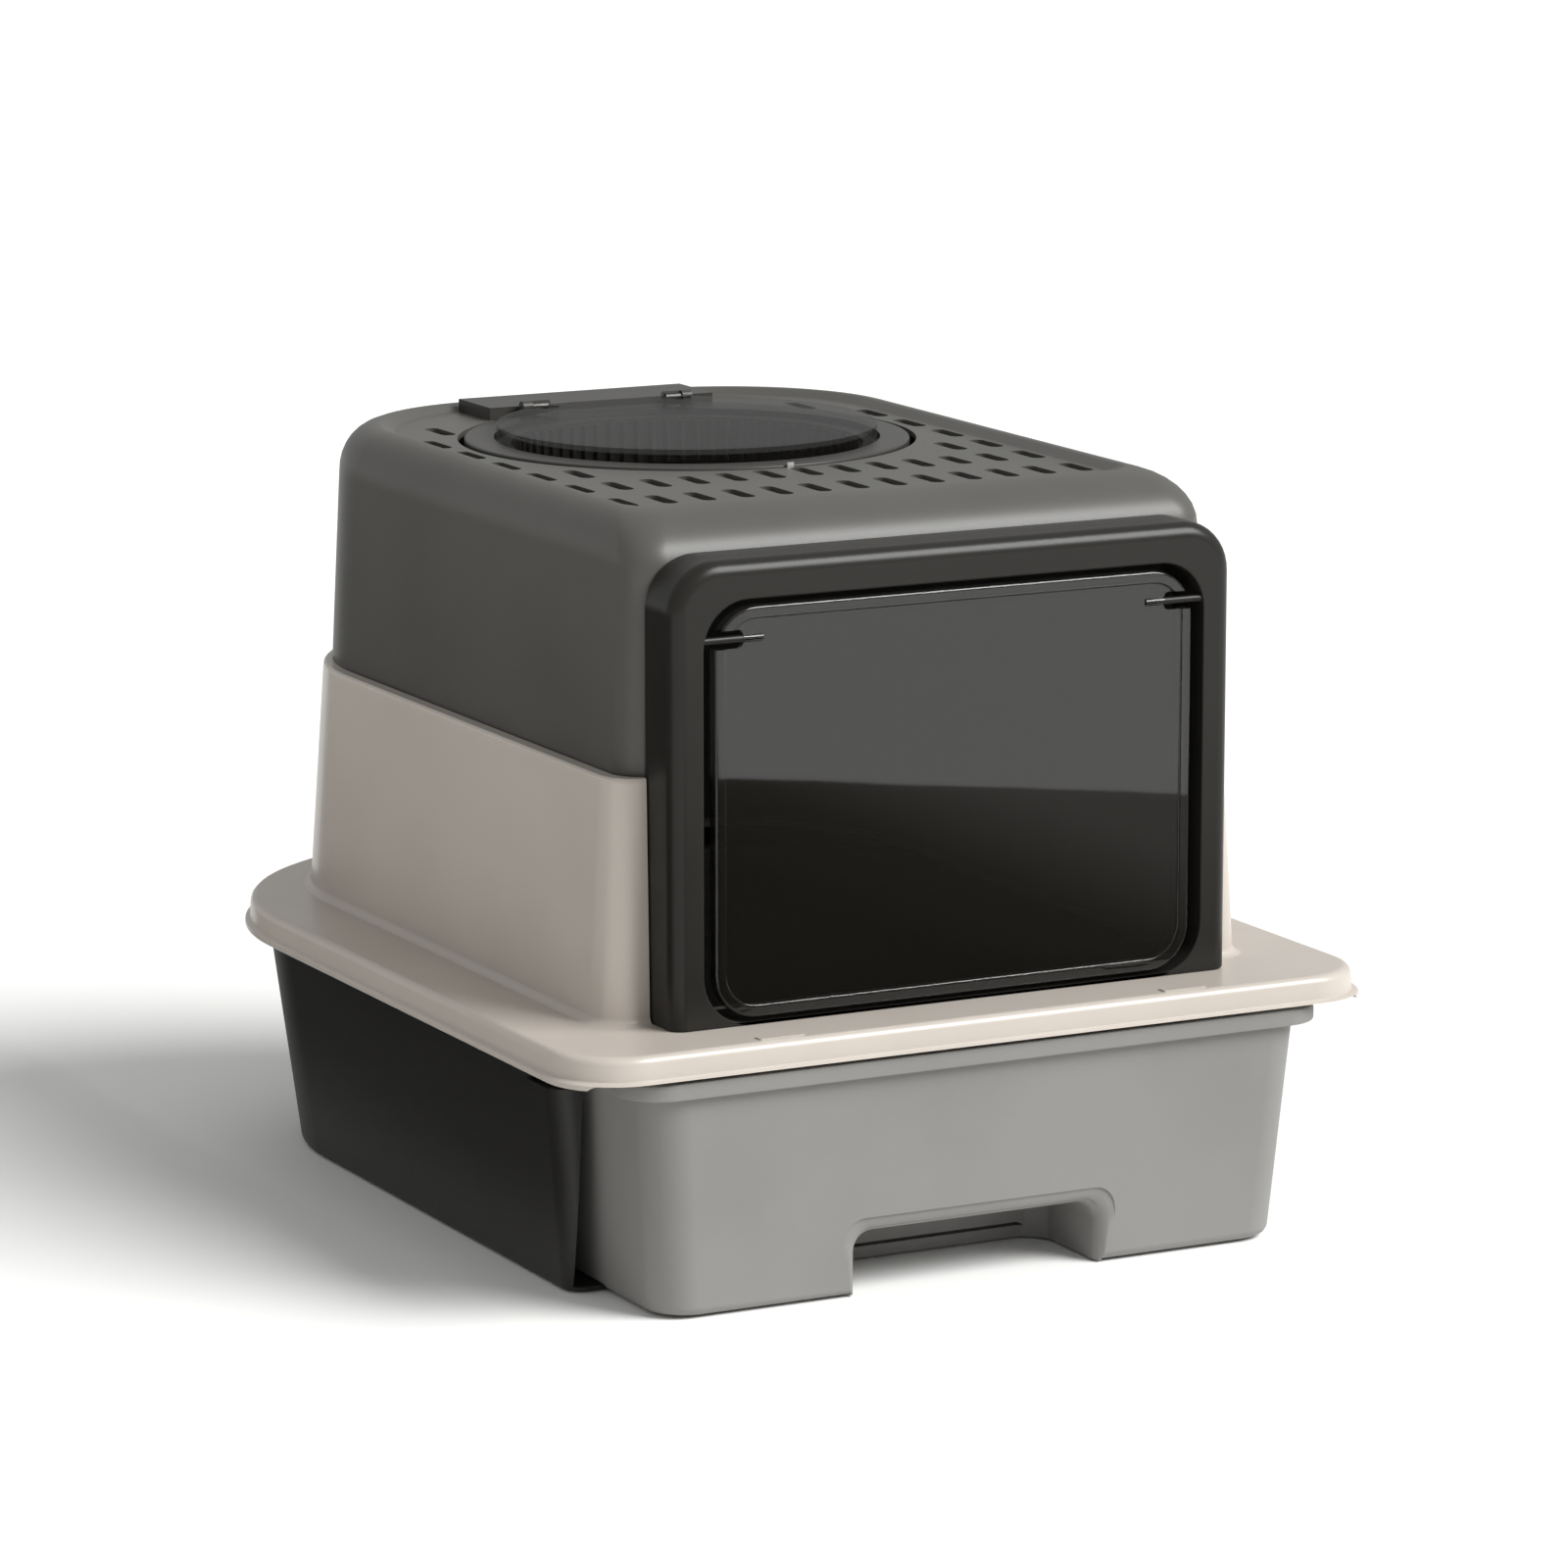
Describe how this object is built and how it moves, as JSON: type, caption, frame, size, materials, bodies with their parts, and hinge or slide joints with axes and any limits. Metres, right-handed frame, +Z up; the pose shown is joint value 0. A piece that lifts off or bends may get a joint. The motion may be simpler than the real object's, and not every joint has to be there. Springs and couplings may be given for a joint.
{
  "type": "cat litter box with hood",
  "caption": "Enclosed cat litter box: tub with a pull-out litter drawer, a collar frame, a lift-off hood with a swing door in front and a round hinged lid on its slotted roof.",
  "frame": {"origin": "centre of the whole box's footprint, on the floor", "axes": "+Z up, -Y towards the front with the door and the drawer, +X towards the box's left hand side as it looks out of the door"},
  "size_m": [0.448, 0.524, 0.3867],
  "materials": {
    "tub_black": "moulded black polypropylene, satin",
    "drawer_grey": "moulded light grey polypropylene, satin",
    "frame_beige": "moulded warm grey plastic, semi-gloss",
    "hood_grey": "moulded dark grey plastic, satin",
    "bezel_grey": "moulded dark grey plastic, satin",
    "ring_grey": "moulded mid grey plastic, satin",
    "smoke_clear": "smoke-tinted clear plastic, glossy",
    "pin_grey": "moulded grey plastic pins",
    "pin_bright": "bright metal"
  },
  "bodies": {
    "tub": {"base_tub": "tub_black"},
    "drawer": {"litter_drawer": "drawer_grey"},
    "frame": {"collar_frame": "frame_beige"},
    "hood": {"hood_shell": "hood_grey", "entry_bezel": "bezel_grey", "door_pin_left": "pin_grey", "door_pin_right": "pin_grey", "top_ring": "ring_grey", "lid_hinge_block": "ring_grey", "lid_pin_left": "pin_bright", "lid_pin_right": "pin_bright", "lid_catch": "pin_bright"},
    "door": {"front_door": "smoke_clear"},
    "lid": {"top_lid": "smoke_clear"}
  },
  "joints": [
    {"name": "drawer_pull", "type": "slide", "parent": "tub", "child": "drawer", "axis": [0, -1, 0], "range_m": [0, 0.4]},
    {"name": "frame_lift", "type": "slide", "parent": "tub", "child": "frame", "axis": [0, 0, 1], "range_m": [0, 0.1]},
    {"name": "hood_lift", "type": "slide", "parent": "frame", "child": "hood", "axis": [0, 0, 1], "range_m": [0, 0.15]},
    {"name": "door_swing", "type": "hinge", "parent": "hood", "child": "door", "pos_m": [0, -0.2206, 0.325], "axis": [1, 0, 0], "range_deg": [-75, 75]},
    {"name": "lid_hinge", "type": "hinge", "parent": "hood", "child": "lid", "pos_m": [0, 0.168, 0.3835], "axis": [-1, 0, 0], "range_deg": [0, 105]}
  ]
}
